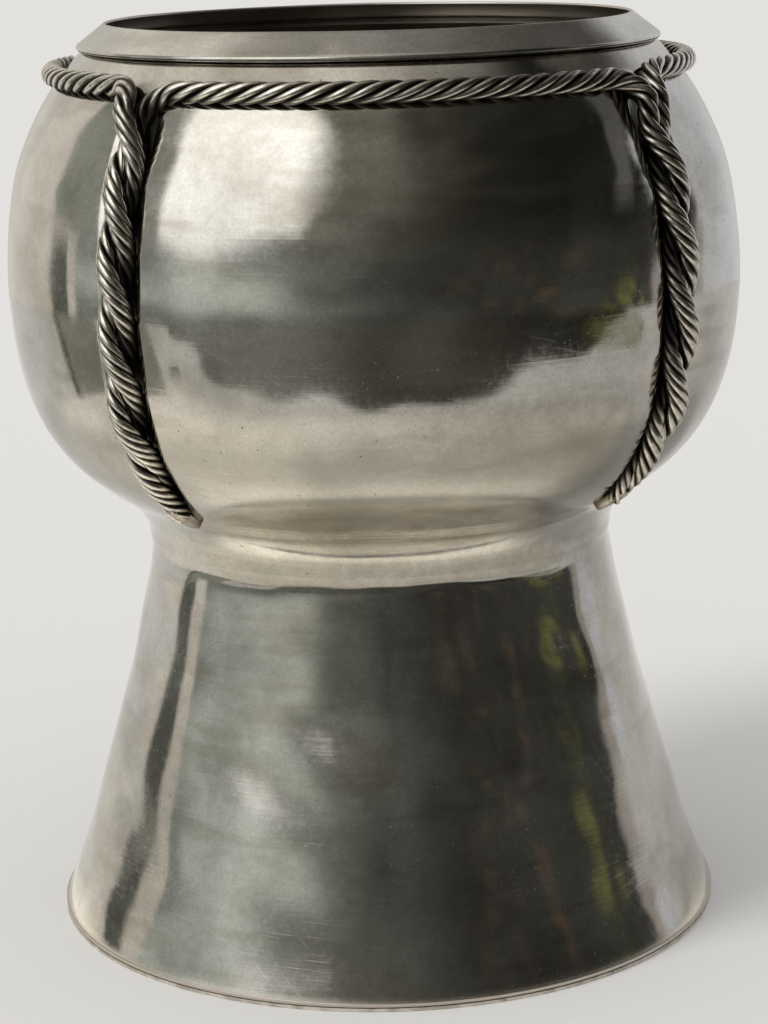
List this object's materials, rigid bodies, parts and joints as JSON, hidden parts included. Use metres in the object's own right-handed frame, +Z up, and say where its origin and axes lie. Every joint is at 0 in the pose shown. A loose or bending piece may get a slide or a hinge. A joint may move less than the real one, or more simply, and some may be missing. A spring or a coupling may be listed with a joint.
{
  "type": "champagne bucket",
  "caption": "Pewter champagne bucket shaped as a champagne cork: lobed bowl on a flaring skirt, open mouth, and a cage of twisted wire ropes.",
  "frame": {"origin": "centre of the flat underside, on the axis", "axes": "+Z up through the mouth; the front lobe faces -Y, and the four rope grooves lie near the diagonals"},
  "size_m": [0.1934, 0.1934, 0.24],
  "materials": {
    "shell": "satin polished pewter, grey, with fine scratches, dents and dark pits",
    "collar": "satin polished pewter with turned lines and a rubbed lip",
    "base": "matt worn pewter",
    "wire": "rubbed bright wire with black patina between the wires",
    "tip": "dull soldered pewter"
  },
  "bodies": {
    "root": {"rim_collar": "collar", "bowl": "shell", "skirt": "shell", "base_plate": "base", "wire_front_1": "wire", "wire_front_2": "wire", "wire_front_3": "wire", "wire_front_4": "wire", "wire_front_5": "wire", "wire_right_1": "wire", "wire_right_2": "wire", "wire_right_3": "wire", "wire_right_4": "wire", "wire_right_5": "wire", "wire_back_1": "wire", "wire_back_2": "wire", "wire_back_3": "wire", "wire_back_4": "wire", "wire_back_5": "wire", "wire_left_1": "wire", "wire_left_2": "wire", "wire_left_3": "wire", "wire_left_4": "wire", "wire_left_5": "wire", "rope_tip_front_left": "tip", "rope_tip_front_right": "tip", "rope_tip_back_right": "tip", "rope_tip_back_left": "tip"}
  },
  "joints": []
}
